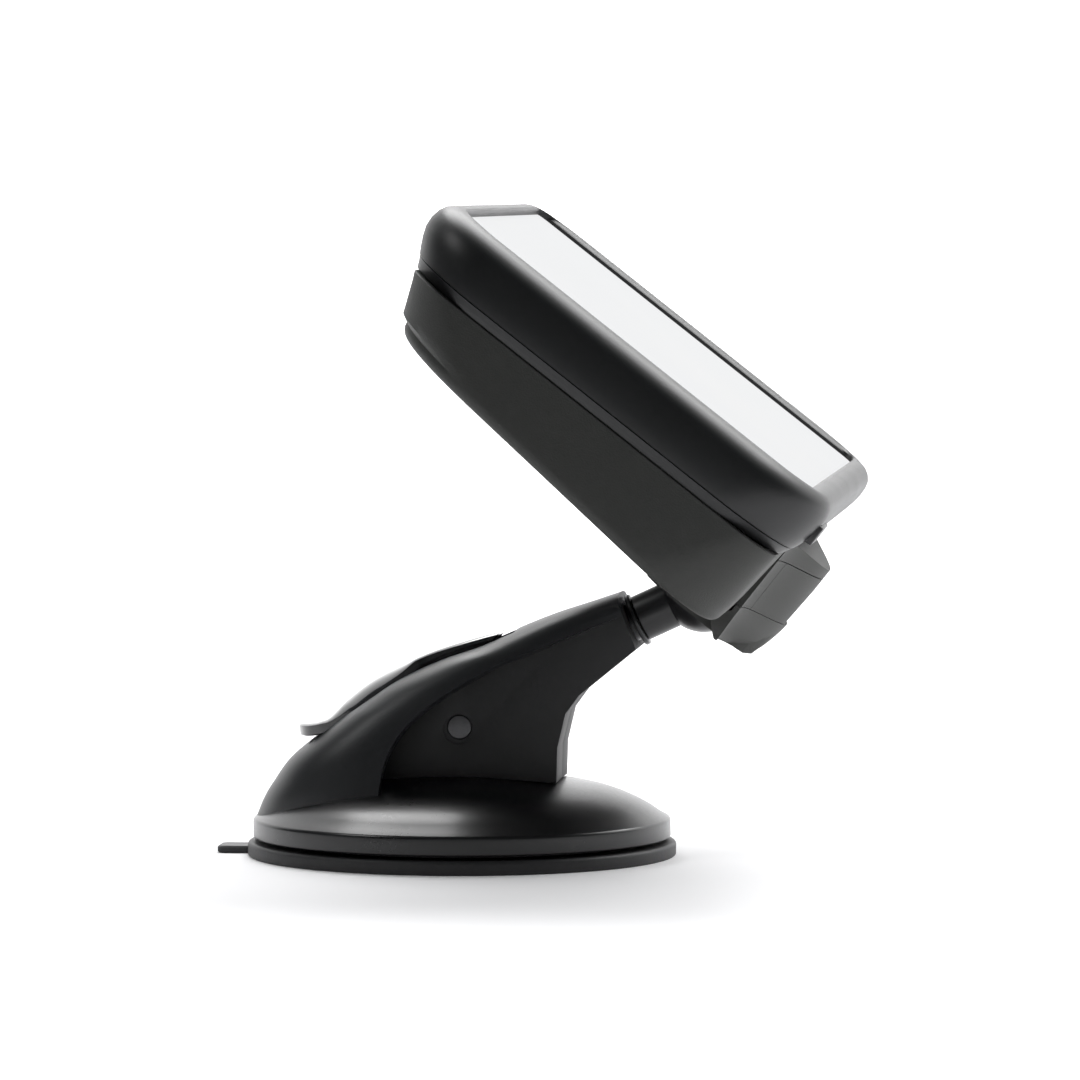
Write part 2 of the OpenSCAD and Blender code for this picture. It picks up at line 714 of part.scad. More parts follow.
module power_button() {
    color([0.16, 0.16, 0.165]) in_head() {
        translate([69.6, button_y - 6, -5.4]) cube([3.8, 12, 3.4]);
        translate([68.3, button_y - 6, -5.4]) cube([2, 12, 2]);
        translate([68.1, button_y - 7, -6.2]) cube([0.6, 14, 2.8]);
    }
}

module button_switch() {
    color([0.6, 0.6, 0.62]) in_head() translate([65, button_y - 3, board_n + board_h / 2]) cube([2.2, 6, 2.6]);
}

module power_socket() {
    color([0.12, 0.12, 0.12]) in_head() translate([58.4, socket_y, socket_n]) difference() {
        translate([0, -3.6, -2.9]) cube([10, 7.2, 5.75]);
        translate([2, 0, 0]) rotate([0, 90, 0]) cylinder(r = 1.75, h = 12);
    }
}

module housing_screws() {
    color([0.5, 0.5, 0.52]) in_head() for (s = rear_screw_sites)
        translate([s[0], s[1], -14]) mirror([0, 0, 1]) pan_screw(1.2, 6.6, 2.1, 1.4);
}

suction_cup();
cup_core();
pull_rod();
return_spring();
base_dome();
dome_screws();
arm_web_left();
arm_web_right();
arm_screws();
arm_cover();
lever();
lever_pin();
ball_stud();
stud_collar();
stud_pin();
pressure_pad();
ball_seat();
socket_cap();
cap_screws();
rear_housing();
end_panel();
front_shell();
display_glass();
lcd_panel();
mid_frame();
main_board();
rf_shield();
horn_antenna();
laser_lens();
laser_sensor();
gps_antenna();
battery();
speaker();
speaker_gasket();
power_socket();
power_button();
button_switch();
housing_screws();
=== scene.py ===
import json
import math

import bmesh
import bpy
from mathutils import Matrix, Vector

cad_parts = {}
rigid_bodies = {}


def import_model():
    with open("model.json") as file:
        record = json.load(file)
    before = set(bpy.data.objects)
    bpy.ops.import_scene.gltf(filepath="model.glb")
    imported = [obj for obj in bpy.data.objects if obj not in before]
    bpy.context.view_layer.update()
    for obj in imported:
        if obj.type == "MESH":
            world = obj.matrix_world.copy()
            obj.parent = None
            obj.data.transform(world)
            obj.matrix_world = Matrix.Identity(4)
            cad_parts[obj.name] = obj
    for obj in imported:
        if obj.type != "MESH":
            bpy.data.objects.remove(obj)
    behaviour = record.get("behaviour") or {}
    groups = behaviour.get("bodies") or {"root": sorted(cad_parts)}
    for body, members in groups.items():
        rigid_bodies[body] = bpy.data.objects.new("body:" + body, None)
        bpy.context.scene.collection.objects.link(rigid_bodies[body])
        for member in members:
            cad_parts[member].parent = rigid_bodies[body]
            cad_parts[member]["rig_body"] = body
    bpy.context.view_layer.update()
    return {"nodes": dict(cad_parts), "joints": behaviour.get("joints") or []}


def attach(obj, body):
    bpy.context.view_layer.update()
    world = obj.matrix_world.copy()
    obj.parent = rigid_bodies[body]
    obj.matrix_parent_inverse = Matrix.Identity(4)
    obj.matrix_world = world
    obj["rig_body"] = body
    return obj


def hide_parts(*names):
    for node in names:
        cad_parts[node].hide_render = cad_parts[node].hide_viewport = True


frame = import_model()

# ---- Where the assembly's joints are ----
# The ball joint and the lever's pin are the two places that everything is built
# from. The screen unit has its own axes: X down the screen, Z out of the glass.
MM = 0.001
joints = {joint["name"]: joint for joint in frame["joints"]}
ball = Vector(joints["head_swivel"]["pos_m"])
screen_normal = Vector(joints["head_swivel"]["axis"])
down_screen = Vector(joints["head_lean"]["axis"])
pin = Vector(joints["lever_swing"]["pos_m"]) / MM
stud_rise = math.radians(25)
ball_down = 63.3
ball_deep = 26.0

in_mm = Matrix.Scale(MM, 4)
head_origin = ball - MM * ball_down * down_screen + MM * ball_deep * screen_normal
in_head = Matrix.Translation(head_origin) @ Matrix(
    (down_screen, Vector((0, 1, 0)), screen_normal)).transposed().to_4x4() @ in_mm
on_stud = Matrix.Translation(ball) @ Matrix.Rotation(math.pi / 2 - stud_rise, 4, "Y") @ in_mm

# ---- Camera ----
# A long lens, a little above the table and to the right of the screen unit's
# side, about one metre away.
heading = math.radians(6.22)
pitch = math.radians(3.11)
lens = bpy.data.cameras.new("camera")
lens.lens = 216.67
lens.sensor_width = 36
lens.clip_end = 20
camera = bpy.data.objects.new("camera", lens)
camera.location = (0.127, -1.0481, 0.1086)
camera.rotation_euler = (math.pi / 2 - pitch, 0, heading)
bpy.context.scene.collection.objects.link(camera)
bpy.context.scene.camera = camera

# ---- Studio ----
# A white sweep behind, a white table, one broad light overhead and small lights from
# the upper left, the right and the front. The room itself is dim, for black plastic.
bpy.context.scene.view_settings.view_transform = "Standard"
room = bpy.data.worlds.new("room")
room.use_nodes = True
room.node_tree.nodes["Background"].inputs["Color"].default_value = (0.9, 0.95, 1.0, 1)
room.node_tree.nodes["Background"].inputs["Strength"].default_value = 0.05
bpy.context.scene.world = room


def plain_sheet(name, corners, colour, glow):
    """A flat sheet of the studio, which isn't part of the object."""
    mesh = bpy.data.meshes.new(name)
    mesh.from_pydata(corners, [], [(0, 1, 2, 3)])
    sheet = bpy.data.objects.new(name, mesh)
    bpy.context.scene.collection.objects.link(sheet)
    paper = bpy.data.materials.new(name)
    paper.use_nodes = True
    shader = paper.node_tree.nodes["Principled BSDF"]
    shader.inputs["Base Color"].default_value = (*colour, 1)
    shader.inputs["Roughness"].default_value = 0.9
    shader.inputs["Specular IOR Level"].default_value = 0.0
    shader.inputs["Emission Color"].default_value = (1, 1, 1, 1)
    shader.inputs["Emission Strength"].default_value = glow
    mesh.materials.append(paper)


table_front = -0.3
table_back = 2.2
plain_sheet("table", [(-4, table_front, 0), (4, table_front, 0), (4, table_back, 0), (-4, table_back, 0)],
            (0.86, 0.86, 0.87), 0.12)
plain_sheet("sweep", [(-4, table_back, 0), (4, table_back, 0), (4, 2.4, 3.2), (-4, 2.4, 3.2)],
            (0.8, 0.8, 0.8), 1.0)


def softbox(name, place, aim, size, power):
    light = bpy.data.lights.new(name, "AREA")
    light.shape = "RECTANGLE"
    light.size, light.size_y = size
    light.energy = power
    lamp = bpy.data.objects.new(name, light)
    lamp.location = place
    lamp.rotation_euler = (Vector(aim) - Vector(place)).to_track_quat("-Z", "Y").to_euler()
    bpy.context.scene.collection.objects.link(lamp)


softbox("overhead", (0.35, 0.95, 1.5), (0, 0.05, 0), (2.4, 1.3), 70)
softbox("left_high", (-0.75, -0.3, 0.9), (0, 0, 0.05), (0.35, 0.35), 2.2)
softbox("right_side", (1.3, 0.5, 0.7), (0, 0, 0.08), (0.9, 0.9), 3.5)
softbox("front_fill", (0.35, -1.6, 0.7), (0, 0, 0.06), (1.2, 0.8), 0.5)


# ---- Moulded black plastics and rubber ----
# Most pieces are moulded. A finish here is a Principled shader with a fine grain
# from the mould, and slow changes of tone and gloss from handling.
class Signal:
    """An output of a finish's nodes. Sums on it add Math nodes."""

    def __init__(self, finish, socket):
        self.finish = finish
        self.socket = socket

    def math(self, operation, first, second):
        return self.finish.node("ShaderNodeMath", {"operation": operation}, {0: first, 1: second})["Value"]

    def __add__(self, other):
        return self.math("ADD", self, other)

    def __mul__(self, other):
        return self.math("MULTIPLY", self, other)


class Finish:
    """The material of one kind of piece, built round a Principled shader."""

    def __init__(self, name, **constants):
        self.material = bpy.data.materials.new(name)
        self.material.use_nodes = True
        self.tree = self.material.node_tree
        self.shader = self.tree.nodes["Principled BSDF"]
        for socket, value in constants.items():
            self.shader.inputs[socket.replace("_", " ")].default_value = value

    def node(self, kind, settings, inputs):
        node = self.tree.nodes.new(kind)
        for setting, value in settings.items():
            if setting == "stops":
                ramp = node.color_ramp.elements
                while len(ramp) < len(value):
                    ramp.new(0.5)
                for element, (position, colour) in zip(ramp, value):
                    element.position = position
                    element.color = (*colour, 1)
            else:
                setattr(node, setting, value)
        for socket, value in inputs.items():
            if isinstance(value, Signal):
                self.tree.links.new(value.socket, node.inputs[socket])
            else:
                node.inputs[socket].default_value = value
        return {output.name: Signal(self, output) for output in node.outputs if output.enabled}

    def place(self):
        return self.node("ShaderNodeTexCoord", {}, {})["Object"]

    def noise(self, size, detail=3.0, roughness=0.55):
        """Noise whose features are about that many millimetres across."""
        return self.node("ShaderNodeTexNoise", {}, {
            "Vector": self.place(), "Scale": 1 / (MM * size), "Detail": detail,
            "Roughness": roughness})["Fac"]

    def feed(self, socket, signal):
        self.tree.links.new(signal.socket, self.shader.inputs[socket])

    def tones(self, low, high, mask):
        self.feed("Base Color", self.node("ShaderNodeMix", {"data_type": "RGBA"}, {
            0: mask, 6: (*low, 1), 7: (*high, 1)})["Result"])

    def grain(self, height, distance):
        self.feed("Normal", self.node("ShaderNodeBump", {}, {
            "Height": height, "Strength": 1.0, "Distance": MM * distance})["Normal"])


def moulded(name, low, high, gloss, grain_size, grain_depth, **constants):
    """Moulded plastic between two tones, its mould grain's size and depth in millimetres."""
    finish = Finish(name, **constants)
    cloud = finish.noise(14.0)
    fine = finish.noise(grain_size, 2.0)
    finish.tones(low, high, cloud * 0.7 + fine * 0.3)
    finish.feed("Roughness", cloud * 0.08 + fine * 0.10 + (gloss - 0.09))
    finish.grain(fine, grain_depth)
    return finish.material


rubber = moulded("black_rubber", (0.012, 0.012, 0.013), (0.03, 0.03, 0.032), 0.55, 0.35, 0.03)
dome_black = moulded("dome_black", (0.005, 0.005, 0.006), (0.009, 0.009, 0.010), 0.30, 0.5, 0.0015,
                     Coat_Weight=0.1, Coat_Roughness=0.15)
web_black = moulded("web_black", (0.007, 0.007, 0.0075), (0.013, 0.013, 0.014), 0.6, 0.22, 0.022)
cover_black = moulded("cover_black", (0.008, 0.009, 0.010), (0.015, 0.016, 0.018), 0.42, 0.22, 0.018)
lever_black = moulded("lever_black", (0.010, 0.010, 0.011), (0.018, 0.018, 0.020), 0.16, 0.6, 0.003,
                      Coat_Weight=0.6, Coat_Roughness=0.06)
stud_black = moulded("stud_black", (0.008, 0.008, 0.009), (0.016, 0.016, 0.017), 0.32, 0.3, 0.006)
housing_grey = moulded("housing_grey", (0.016, 0.017, 0.0155), (0.028, 0.029, 0.026), 0.62, 0.26, 0.05)
shell_black = moulded("shell_black", (0.004, 0.0045, 0.005), (0.007, 0.0075, 0.0085), 0.44, 0.16, 0.008)
button_black = moulded("button_black", (0.016, 0.016, 0.017), (0.024, 0.024, 0.026), 0.4, 0.2, 0.010)
inner_black = moulded("inner_black", (0.03, 0.03, 0.032), (0.06, 0.06, 0.065), 0.5, 0.4, 0.02)
seat_white = moulded("acetal", (0.55, 0.54, 0.50), (0.66, 0.65, 0.61), 0.35, 0.8, 0.01)


def metal(name, low, high, gloss, grain_size, grain_depth, stretch):
    """Rolled or turned metal, with its scratches drawn out along X."""
    finish = Finish(name, Metallic=1.0)
    lie = finish.node("ShaderNodeMapping", {}, {
        "Vector": finish.place(), "Scale": (1 / stretch, 1, 1)})["Vector"]
    lines = finish.node("ShaderNodeTexNoise", {}, {
        "Vector": lie, "Scale": 1 / (MM * grain_size), "Detail": 4.0})["Fac"]
    finish.tones(low, high, lines)
    finish.feed("Roughness", lines * 0.25 + (gloss - 0.12))
    finish.grain(lines, grain_depth)
    return finish.material


zinc = metal("zinc_plated", (0.50, 0.50, 0.52), (0.70, 0.70, 0.72), 0.32, 0.3, 0.004, 6)
black_oxide = metal("black_oxide", (0.06, 0.06, 0.065), (0.12, 0.12, 0.125), 0.4, 0.3, 0.004, 2)
pin_grey = metal("pin_grey", (0.08, 0.08, 0.083), (0.13, 0.13, 0.134), 0.45, 0.25, 0.003, 3)
alloy = metal("alloy_sheet", (0.55, 0.56, 0.58), (0.70, 0.71, 0.73), 0.38, 0.4, 0.004, 8)
tin = metal("tinned_steel", (0.62, 0.62, 0.64), (0.78, 0.78, 0.80), 0.28, 0.5, 0.003, 4)


# ---- Suction cup ----
# Soft black rubber, 70 mm across, with a thin rounded rim, a hollow underside and
# a flat tongue at the back that is lifted to let the air in. Moulded in one piece.
def solid(name, points, faces, place, finish, smooth_angle=40):
    """A closed mesh from points in millimetres, put in its place and given its finish."""
    mesh = bpy.data.meshes.new(name)
    mesh.from_pydata([Vector(p) for p in points], [], faces)
    form = bmesh.new()
    form.from_mesh(mesh)
    bmesh.ops.remove_doubles(form, verts=form.verts, dist=1e-4)
    bmesh.ops.recalc_face_normals(form, faces=form.faces)
    bmesh.ops.transform(form, matrix=place, verts=form.verts)
    form.to_mesh(mesh)
    form.free()
    piece = bpy.data.objects.new(name, mesh)
    bpy.context.scene.collection.objects.link(piece)
    mesh.materials.append(finish)
    shade(piece, smooth_angle)
    return piece


def shade(piece, smooth_angle):
    """Smooth shading, with a crease wherever two faces meet at more than that angle."""
    mesh = piece.data
    mesh.polygons.foreach_set("use_smooth", [True] * len(mesh.polygons))
    form = bmesh.new()
    form.from_mesh(mesh)
    for edge in form.edges:
        edge.smooth = len(edge.link_faces) == 2 and edge.calc_face_angle(0) < math.radians(smooth_angle)
    form.to_mesh(mesh)
    form.free()


def lathe(profile, turns=128):
    """Points and faces of a closed profile of (radius, height), turned about Z."""
    rings = [[(r * math.cos(2 * math.pi * i / turns), r * math.sin(2 * math.pi * i / turns), z)
              for i in range(turns)] for r, z in profile]
    return loft(rings + rings[:1])


def loft(rings, capped=False):
    """Points and faces of a skin over rings of the same number of points."""
    around = len(rings[0])
    faces = [(k * around + i, k * around + (i + 1) % around,
              (k + 1) * around + (i + 1) % around, (k + 1) * around + i)
             for k in range(len(rings) - 1) for i in range(around)]
    if capped:
        faces += [tuple(range(around)), tuple((len(rings) - 1) * around + i for i in range(around))]
    return [p for ring in rings for p in ring], faces


def rounding(centre, radius, start, end, steps=6):
    """Points of an arc between two angles in degrees."""
    return [(centre[0] + radius * math.cos(math.radians(start + (end - start) * i / steps)),
             centre[1] + radius * math.sin(math.radians(start + (end - start) * i / steps)))
            for i in range(steps + 1)]


def combine(piece, other, operation):
    """Joins another solid to a piece, or cuts it away or keeps the common part, and removes the other."""
    change = piece.modifiers.new("change", "BOOLEAN")
    change.operation = operation
    change.solver = "EXACT"
    change.object = other
    bpy.context.view_layer.update()
    result = bpy.data.meshes.new_from_object(piece.evaluated_get(bpy.context.evaluated_depsgraph_get()))
    piece.modifiers.clear()
    piece.data = result
    bpy.data.objects.remove(other)
    return piece


cup_r = 34.9
cup_rim = 2.3
cup_profile = ([(0, 1.2), (10, 1.2), (20, 0.55), (28, 0.05)] + rounding((cup_r - 0.35, 0.35), 0.35, -90, 0)
               + rounding((cup_r - 0.6, cup_rim - 0.6), 0.6, 0, 90)
               + [(30, cup_rim), (21, cup_rim), (12, 3.1), (0, 3.1)])
cup = solid("rubber_cup", *lathe(cup_profile, 180), in_mm, rubber)
tab_outline = ([(-33.0, -3.2)] + [(-40 + 1.2 + x, y) for x, y in rounding((0, -2.0), 1.2, 270, 180)]
               + [(-40 + 1.2 + x, y) for x, y in rounding((0, 2.0), 1.2, 180, 90)] + [(-33.0, 3.2)])
tab_levels = [(0.25, 0.0), (0.0, 0.25), (0.0, 0.95), (0.25, 1.2)]
tab_rings = [[(x + inset * (1 if x < -38 else 0), y * (1 - inset / 3.2), z) for x, y in tab_outline]
             for inset, z in tab_levels]
tab = solid("tab", *loft(tab_rings, capped=True), in_mm, rubber)
combine(cup, tab, "UNION")
shade(cup, 35)
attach(cup, "base")
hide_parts("suction_cup")

# ---- Dome plate ----
# The hard black plate over the cup: a low dome with a satin top and a short
# upright rim. It carries the arm on four screws from below.
dome_r = 34.0
dome_profile = ([(2.7, 10.6), (10, 10.6), (20, 9.2), (28.5, 6.4), (28.5, 2.4), (30, 2.4), (30, 2.95),
                 (33.4, 2.95)]
                + rounding((dome_r - 0.4, 3.35), 0.4, -90, 0, 4)
                + rounding((dome_r - 0.7, 5.6), 0.7, 0, 58, 5)
                + [(32.6, 6.75), (31.2, 7.75), (29.1, 8.95), (26.5, 10.1), (24.0, 10.95), (21.0, 11.65),
                   (18.0, 12.2), (13.0, 12.85), (8.0, 13.4), (2.7, 13.4)])
dome = solid("dome_plate", *lathe(dome_profile, 180), in_mm, dome_black, 50)
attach(dome, "base")
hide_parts("base_dome")

# ---- Arm ----
# Two matt web halves screwed together from the far side, under a satin cover that
# flares out over the front of the dome. The cover is a shell of 1.6 mm.


def softened(node, name, finish, edge=0.3, segments=3):
    """A copy of a CAD node with its corners rounded, which stands for the node."""
    source = frame["nodes"][node]
    mesh = source.data.copy()
    form = bmesh.new()
    form.from_mesh(mesh)
    bmesh.ops.remove_doubles(form, verts=form.verts, dist=1e-6)
    bmesh.ops.dissolve_limit(form, angle_limit=math.radians(1.0), verts=form.verts, edges=form.edges)
    form.to_mesh(mesh)
    form.free()
    mesh.materials.clear()
    mesh.materials.append(finish)
    piece = bpy.data.objects.new(name, mesh)
    bpy.context.scene.collection.objects.link(piece)
    bevel = piece.modifiers.new("corners", "BEVEL")
    bevel.width = MM * edge
    bevel.segments = segments
    bevel.limit_method = "ANGLE"
    bevel.angle_limit = math.radians(38)
    bpy.context.view_layer.update()
    result = bpy.data.meshes.new_from_object(piece.evaluated_get(bpy.context.evaluated_depsgraph_get()))
    piece.modifiers.clear()
    piece.data = result
    shade(piece, 30)
    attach(piece, source["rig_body"])
    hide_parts(node)
    return piece


for side in ("left", "right"):
    softened("arm_web_" + side, "web_half_" + side, web_black, 0.35)


def smooth_line(points, count):
    """A smooth curve through points, as evenly spaced points."""
    ends = [points[0]] + list(points) + [points[-1]]
    fine = []
    for a, b, c, d in zip(ends, ends[1:], ends[2:], ends[3:]):
        for i in range(24):
            t = i / 24
            fine.append(tuple(0.5 * (2 * q + (r - p) * t + (2 * p - 5 * q + 4 * r - s) * t * t
                                     + (3 * q - p - 3 * r + s) * t ** 3) for p, q, r, s in zip(a, b, c, d)))
    fine.append(tuple(points[-1]))
    lengths = [0.0]
    for a, b in zip(fine, fine[1:]):
        lengths.append(lengths[-1] + math.dist(a, b))
    line, k = [], 0
    for i in range(count):
        target = lengths[-1] * i / (count - 1)
        while k < len(fine) - 2 and lengths[k + 1] < target:
            k += 1
        share = (target - lengths[k]) / max(lengths[k + 1] - lengths[k], 1e-9)
        line.append(tuple(p + (q - p) * share for p, q in zip(fine[k], fine[k + 1])))
    return line


cover_wall = 1.6
crown = [(-33.6, 6.2), (-32.2, 9.4), (-30.5, 12.1), (-27.3, 16.3), (-21.0, 21.3), (-16.1, 24.8),
         (-10.2, 28.8), (-3.0, 32.2), (3.0, 34.3), (9.8, 37.2), (15.0, 39.3), (21.3, 41.4), (26.0, 43.0)]
side_edge = [(-11.2, 10.6), (-10.7, 14.6), (-9.7, 17.9), (-7.4, 21.7), (-4.0, 25.0), (-0.2, 27.7),
             (3.6, 29.9), (8.4, 32.5), (13.1, 34.2), (17.9, 36.1), (24.9, 38.8), (27.0, 39.6)]
half_widths = [(20.2,), (18.2,), (16.0,), (14.3,), (13.0,), (11.8,), (10.6,), (9.6,), (8.9,), (8.6,)]
stations = 64
across = 24


def cover_skin(inset):
    """Rings of the cover from toe to end, each from the near edge over the crown to the far edge."""
    tops = smooth_line(crown, stations)
    edges = smooth_line(side_edge, stations)
    widths = smooth_line(half_widths, stations)
    rings = []
    for k in range(stations):
        along = k / (stations - 1)
        power = 2 / (2.0 + 1.3 * min(1, 3 * along))
        middle = Vector((edges[k][0], edges[k][1])) - Vector((tops[k][0], tops[k][1]))
        ring = []
        for i in range(-across, across + 1):
            angle = math.pi / 2 * abs(i) / across
            out = math.sin(angle) ** power
            drop = 1 - math.cos(angle) ** power
            x, z = tops[k][0] + middle.x * drop, tops[k][1] + middle.y * drop
            ring.append((x, math.copysign(widths[k][0] * out, i), z))
        rings.append(ring)
    return rings


def open_sheet(name, rings, thickness, finish):
    """A sheet over rings that don't close, given a wall inwards."""
    wide = len(rings[0])
    faces = [(k * wide + i, k * wide + i + 1, (k + 1) * wide + i + 1, (k + 1) * wide + i)
             for k in range(len(rings) - 1) for i in range(wide - 1)]
    piece = solid(name, [p for ring in rings for p in ring], faces, in_mm, finish)
    wall = piece.modifiers.new("wall", "SOLIDIFY")
    wall.thickness = MM * thickness
    wall.offset = -1
    bpy.context.view_layer.update()
    result = bpy.data.meshes.new_from_object(piece.evaluated_get(bpy.context.evaluated_depsgraph_get()))
    piece.modifiers.clear()
    piece.data = result
    return piece


def prism(name, outline, low, high, place, finish):
    """An outline in the first two axes, extruded between two heights."""
    rings = [[(x, y, z) for x, y in outline] for z in (low, high)]
    return solid(name, *loft(rings, capped=True), place, finish)


cover = open_sheet("arm_cover_shell", cover_skin(0), cover_wall, cover_black)
plate_hw = 9.0
plate_end_hw = 5.9
opening = [(-23.9, plate_hw + 0.35), (-13, plate_hw + 0.35), (-6.5, plate_end_hw + 1.5),
           (4.5, plate_end_hw + 1.5), (9.3, plate_end_hw + 0.8)]
opening += [(x, -y) for x, y in reversed(opening)]
combine(cover, prism("opening", opening, 15, 60, in_mm, cover_black), "DIFFERENCE")
shade(cover, 35)
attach(cover, "base")
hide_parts("arm_cover")

# ---- Locking lever ----
# A gloss black lever that lies along the arm's back. Its plate ends in a finger
# tab, and two ribs under it carry a hub and an eccentric round the steel pin.
plate_line = [(6.3, 36.6), (4.4, 36.1), (-0.4, 34.7), (-5.3, 33.0), (-10.1, 30.8), (-14.9, 28.2),
              (-19.0, 25.0), (-21.4, 22.5), (-23.6, 21.8), (-26.7, 21.5)]
plate_steps = 48


def plate_rings():
    """Sections of the lever's plate, from its upper end to the finger tab."""
    line = smooth_line(plate_line, plate_steps)
    rings = []
    for k, (x, z) in enumerate(line):
        before, after = line[max(k - 1, 0)], line[min(k + 1, plate_steps - 1)]
        along = Vector((after[0] - before[0], after[1] - before[1])).normalized()
        up = Vector((along.y, -along.x))
        narrow = plate_end_hw + 0.03 * (7 - x)
        wide = min(plate_hw, plate_end_hw + 0.4 - (x + 6.3) * 0.4)
        width = narrow if x > -6.3 else wide
        tip = max(0.0, (-22.7 - x) / 4.0)
        width = width * math.sqrt(max(1 - tip * tip, 0.05)) if tip else width
        thick = 1.3 + min(0.9, max(0, -2 - x) * 0.11)
        thick = thick if k not in (0, plate_steps - 1) else 0.5 * thick
        crowning = 2.0 * min(1, max(0, (-7 - x) / 6)) * (1 - min(1, max(0, (-18 - x) / 4)))
        section = []
        for side, level in ((1, 0.0), (-1, -thick)):
            for i in range(-8, 9):
                y = side * width * math.sin(math.radians(90 * i / 8))
                edge = abs(y) / width
                h = level - crowning * edge ** 2.4 - 0.35 * side * edge ** 8
                section.append((x + up.x * h, y, z + up.y * h))
        rings.append(section)
    return rings


lever = solid("lever_plate", *loft(plate_rings(), capped=True), in_mm, lever_black, 60)


def on_side(points, y0, y1, name, finish):
    """An outline in X and Z, extruded along Y between two values."""
    rings = [[(x, y, z) for x, z in points] for y in (y0, y1)]
    return solid(name, *loft(rings, capped=True), in_mm, finish)


rib = [(pin.x + 3.6, pin.z), (5.2, 35.4), (0, 34.0), (-5.6, 31.9), (-10.4, 29.6), (-14.6, 27.0),
       (-11, 24.5), (pin.x - 3, pin.z - 1.5)]
cam_throw = 2.0
lock_angle = math.radians(22.5)
cam = (pin.x + cam_throw * math.cos(lock_angle), pin.z + cam_throw * math.sin(lock_angle))


def disc(centre, radius):
    """A circle of 48 points in X and Z."""
    return rounding(centre, radius, 0, 352.5, 47)


for sign in (-1, 1):
    low, high = sorted((sign * 2.6, sign * 4.6))
    combine(lever, on_side(rib, low, high, "rib", lever_black), "UNION")
    low, high = sorted((sign * 2.3, sign * 6.3))
    combine(lever, on_side(disc((pin.x, pin.z), 3.6), low, high, "hub", lever_black), "UNION")
combine(lever, on_side(disc(cam, 4.4), -2.8, 2.8, "eccentric", lever_black), "UNION")
combine(lever, on_side(disc((pin.x, pin.z), 2.06), -15, 15, "bore", lever_black), "DIFFERENCE")
shade(lever, 35)
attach(lever, "lever")
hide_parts("lever")
softened("lever_pin", "pivot_pin", pin_grey, 0.25)

# ---- Ball stud ----
# A glossy black plastic ball on a round neck, whose shank is pinned into the end
# of the arm behind a thin collar.
ball_r = 7.0
neck_r = 3.8
stud_len = 12.35
neck_meets = math.degrees(math.asin(neck_r / ball_r))
shank_r = 3.15
flange_r = 4.3
stud_profile = ([(0, -stud_len - 9.4), (shank_r, -stud_len - 9.4), (shank_r, -stud_len - 3.3),
                 (flange_r, -stud_len - 3.3), (flange_r, -stud_len - 1.9), (shank_r, -stud_len - 1.9),
                 (shank_r, -stud_len + 0.9), (neck_r - 0.25, -stud_len + 0.9), (neck_r, -stud_len + 1.15)]
                + [(neck_r, -ball_r * math.cos(math.radians(neck_meets)) - 0.3)]
                + rounding((0, 0), ball_r, neck_meets - 90, 90, 32))
stud = solid("ball_and_neck", *lathe(stud_profile, 96), on_stud, stud_black)
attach(stud, "base")
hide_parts("ball_stud")
softened("stud_collar", "neck_collar", stud_black, 0.2)

# ---- Rear housing ----
# The deep back shell of the screen unit, moulded in dark grey with a fine spark
# texture. Its back slopes, and a hump on the lower end stands over the ball joint.
corner_steps = 12
side_steps = 10


def outline(l0, l1, hw, r):
    """Points of a rectangle with round corners, down the screen and across it."""
    points = []
    corners = [(l1 - r, hw - r, 0), (l0 + r, hw - r, 90), (l0 + r, r - hw, 180), (l1 - r, r - hw, 270)]
    for k, (x, y, start) in enumerate(corners):
        points += rounding((x, y), r, start, start + 90, corner_steps)
        nx, ny = rounding(corners[(k + 1) % 4][:2], r, start + 90, start + 90, 1)[0]
        px, py = points[-1]
        points += [(px + (nx - px) * i / side_steps, py + (ny - py) * i / side_steps)
                   for i in range(1, side_steps)]
    return points


part_n = -9.25
rear_hw = 63.6
rear_gap = 0.12
end_wall = 70.4
hump_hw = 26
hump_rise = 7
panel_hw = 19
panel_depth = 1.2
near_seam = -12.7
far_seam = -22.1


def rear_level(down):
    """Height of the sloping back at a place down the screen."""
    return -19.15 - (down - 4.8) * 5.35 / 63.6


def rear_ring(share, inset, lift, corner):
    """A ring that is that share of the way from the parting line to the back."""
    top_end = -0.4 + 2.9 * share + 1.2 * max(0, share - 0.75)
    low_end = end_wall - 1.2 * share
    start = part_n - rear_gap
    ring = []
    for x, y in outline(top_end + inset, low_end - inset, rear_hw - inset, corner):
        ring.append((x, y, start + (rear_level(x) + lift - start) * share))
    return ring


def rear_corner(share):
    return 7.0 + 8.5 * share


def rear_shell():
    """The housing's outer skin, its rim and its inner skin, as one closed form."""
    wall = 1.8
    edge = 1.9
    rings = []
    for share in (0.9, 0.45, 0.0):
        floor = wall / max(share, 0.3) * (share > 0)
        rings.append(rear_ring(share, wall, floor, rear_corner(share) - wall))
    rings.append(rear_ring(0.0, 0.15, 0, rear_corner(0) - 0.15))
    rings.append([(x, y, z - 0.15) for x, y, z in rear_ring(0.0, 0.0, 0, rear_corner(0))])
    for share in (0.15, 0.3, 0.45, 0.6, 0.72):
        rings.append(rear_ring(share, 0.0, 0, rear_corner(share)))
    for i in range(0, 9):
        turn = math.radians(90 * i / 8)
        rings.append(rear_ring(1.0, edge * (1 - math.cos(turn)), edge * (1 - math.sin(turn)),
                               rear_corner(1.0) - edge * (1 - math.cos(turn))))
    return loft(rings, capped=True)


def hump_plan(back):
    """Plan of the lower end with its smooth hump, moved back by a distance."""
    swell = [(end_wall - back + hump_rise * math.cos(math.radians(90 * y / hump_hw)) ** 2, y)
             for y in range(-hump_hw, hump_hw + 1)]
    return [(60, -hump_hw)] + swell + [(60, hump_hw)]


